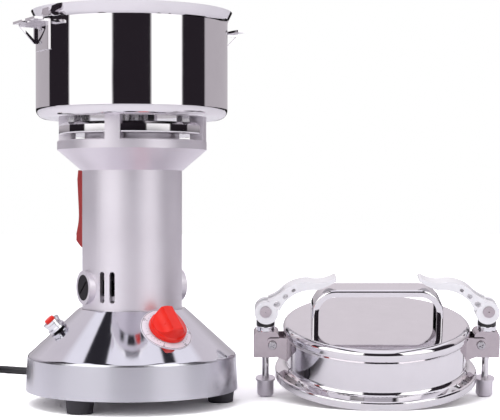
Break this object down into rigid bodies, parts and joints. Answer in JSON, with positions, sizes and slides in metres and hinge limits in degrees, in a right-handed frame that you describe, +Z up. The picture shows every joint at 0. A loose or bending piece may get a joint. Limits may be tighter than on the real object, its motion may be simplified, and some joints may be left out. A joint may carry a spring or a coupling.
{
  "type": "electric grain mill",
  "caption": "Electric grain mill with its lid off: bowl with blades on a motor column and conical base with timer knob, reset button and cord; lever-clamped lid beside it.",
  "frame": {"origin": "under the middle of the mill and its lid together, on the surface they stand on; the mill's axis is at x -0.1094, y -0.0135", "axes": "+Z up, +X from the mill towards the lid beside it, -Y towards the front with the timer knob"},
  "size_m": [0.5929, 0.3256, 0.33],
  "materials": {
    "polished_steel": "mirror-polished stainless steel",
    "satin_aluminium": "satin cast aluminium",
    "die_cast_silver": "smooth die-cast, silver-white",
    "steel_fittings": "bright turned and pressed steel",
    "blade_steel": "ground stainless steel",
    "chrome_collar": "chrome-plated",
    "black_rubber": "moulded black rubber",
    "silicone_seal": "translucent silicone",
    "red_plastic": "moulded red plastic",
    "dark_red_plastic": "moulded dark red plastic",
    "black_plastic": "moulded black plastic",
    "dial_white": "white printed foil",
    "cord_black": "black PVC sheath",
    "laminated_iron": "stacked iron sheets",
    "copper_winding": "enamelled copper wire",
    "carbon": "pressed carbon",
    "plug_brass": "bare brass"
  },
  "bodies": {
    "mill": {"base_shell": "polished_steel", "bottom_cover": "steel_fittings", "rubber_feet": "black_rubber", "foot_screws": "steel_fittings", "column_casting": "satin_aluminium", "column_screws": "steel_fittings", "brush_holders": "black_plastic", "carbon_brushes": "carbon", "brush_caps": "black_plastic", "top_casting": "satin_aluminium", "bearing_plate": "polished_steel", "bowl_spacers": "steel_fittings", "bowl_screws": "steel_fittings", "grinding_bowl": "polished_steel", "latch_brackets": "polished_steel", "shaft_bearings": "steel_fittings", "lower_bearing_bracket": "steel_fittings", "stator_core": "laminated_iron", "field_coils": "copper_winding", "seal_housing": "steel_fittings", "shaft_seal": "black_rubber", "carry_handle": "dark_red_plastic", "handle_screws": "steel_fittings", "timer_body": "black_plastic", "timer_dial": "dial_white", "overload_switch": "black_plastic", "overload_collar": "chrome_collar", "cord_stretch": "cord_black", "cord_coil": "cord_black", "strain_relief": "black_rubber", "plug_body": "black_plastic", "plug_pins": "plug_brass"},
    "rotor": {"motor_shaft": "steel_fittings", "wound_armature": "laminated_iron", "cooling_fan": "black_plastic", "lower_blade": "blade_steel", "middle_blade": "blade_steel", "upper_blade": "blade_steel", "blade_spacers": "steel_fittings", "blade_nut": "steel_fittings"},
    "knob": {"timer_spindle": "steel_fittings", "timer_knob": "red_plastic"},
    "button": {"overload_button": "red_plastic"},
    "lid": {"lid_shell": "polished_steel", "lid_seal": "silicone_seal", "lid_handle": "polished_steel", "clamp_clevises": "polished_steel", "pivot_screws": "steel_fittings"},
    "clamp_left": {"clamp_block_left": "die_cast_silver", "clamp_washers_left": "chrome_collar"},
    "rod_left": {"clamp_rod_left": "steel_fittings", "cam_pin_left": "steel_fittings"},
    "lever_left": {"cam_lever_left": "die_cast_silver"},
    "nut_left": {"thumb_nut_left": "satin_aluminium"},
    "clamp_right": {"clamp_block_right": "die_cast_silver", "clamp_washers_right": "chrome_collar"},
    "rod_right": {"clamp_rod_right": "steel_fittings", "cam_pin_right": "steel_fittings"},
    "lever_right": {"cam_lever_right": "die_cast_silver"},
    "nut_right": {"thumb_nut_right": "satin_aluminium"}
  },
  "joints": [
    {"name": "rotor_spin", "type": "hinge", "parent": "mill", "child": "rotor", "pos_m": [-0.10939, -0.01346, 0.2], "axis": [0, 0, 1], "continuous": true},
    {"name": "timer_knob_turn", "type": "hinge", "parent": "mill", "child": "knob", "pos_m": [-0.07694, -0.0644, 0.06621], "axis": [-0.361, 0.5666, -0.7407], "range_deg": [0, 300]},
    {"name": "overload_button_press", "type": "slide", "parent": "mill", "child": "button", "axis": [0.6389, 0.2076, -0.7407], "range_m": [0, 0.0025], "stiffness_N_per_m": 400},
    {"name": "lid_lift", "type": "slide", "parent": "mill", "child": "lid", "axis": [0, 0, 1], "range_m": [0, 0.08]},
    {"name": "clamp_left_swing", "type": "hinge", "parent": "lid", "child": "clamp_left", "pos_m": [0.01001, 0.0111, 0.04928], "axis": [0, 0.9732, 0.23], "range_deg": [0, 20]},
    {"name": "rod_left_slide", "type": "slide", "parent": "clamp_left", "child": "rod_left", "axis": [0, 0.23, -0.9732], "range_m": [0, 0.0019]},
    {"name": "lever_left_turn", "type": "hinge", "parent": "rod_left", "child": "lever_left", "pos_m": [0.00411, 0.00441, 0.07758], "axis": [0, -0.9732, -0.23], "range_deg": [0, 120]},
    {"name": "nut_left_turn", "type": "hinge", "parent": "rod_left", "child": "nut_left", "pos_m": [0.00411, 0.02074, 0.0085], "axis": [0, -0.23, 0.9732], "range_deg": [-180, 180]},
    {"name": "clamp_right_swing", "type": "hinge", "parent": "lid", "child": "clamp_right", "pos_m": [0.18941, 0.0111, 0.04928], "axis": [0, -0.9732, -0.23], "range_deg": [0, 20]},
    {"name": "rod_right_slide", "type": "slide", "parent": "clamp_right", "child": "rod_right", "axis": [0, 0.23, -0.9732], "range_m": [0, 0.0019]},
    {"name": "lever_right_turn", "type": "hinge", "parent": "rod_right", "child": "lever_right", "pos_m": [0.19531, 0.00441, 0.07758], "axis": [0, 0.9732, 0.23], "range_deg": [0, 120]},
    {"name": "nut_right_turn", "type": "hinge", "parent": "rod_right", "child": "nut_right", "pos_m": [0.19531, 0.02074, 0.0085], "axis": [0, -0.23, 0.9732], "range_deg": [-180, 180]}
  ],
  "couplings": [
    {"joint": "rod_left_slide", "follows": "clamp_left_swing", "m_per_rad": 0.005438},
    {"joint": "lever_left_turn", "follows": "clamp_left_swing", "ratio": 5.999},
    {"joint": "rod_right_slide", "follows": "clamp_right_swing", "m_per_rad": 0.005438},
    {"joint": "lever_right_turn", "follows": "clamp_right_swing", "ratio": 5.999}
  ]
}
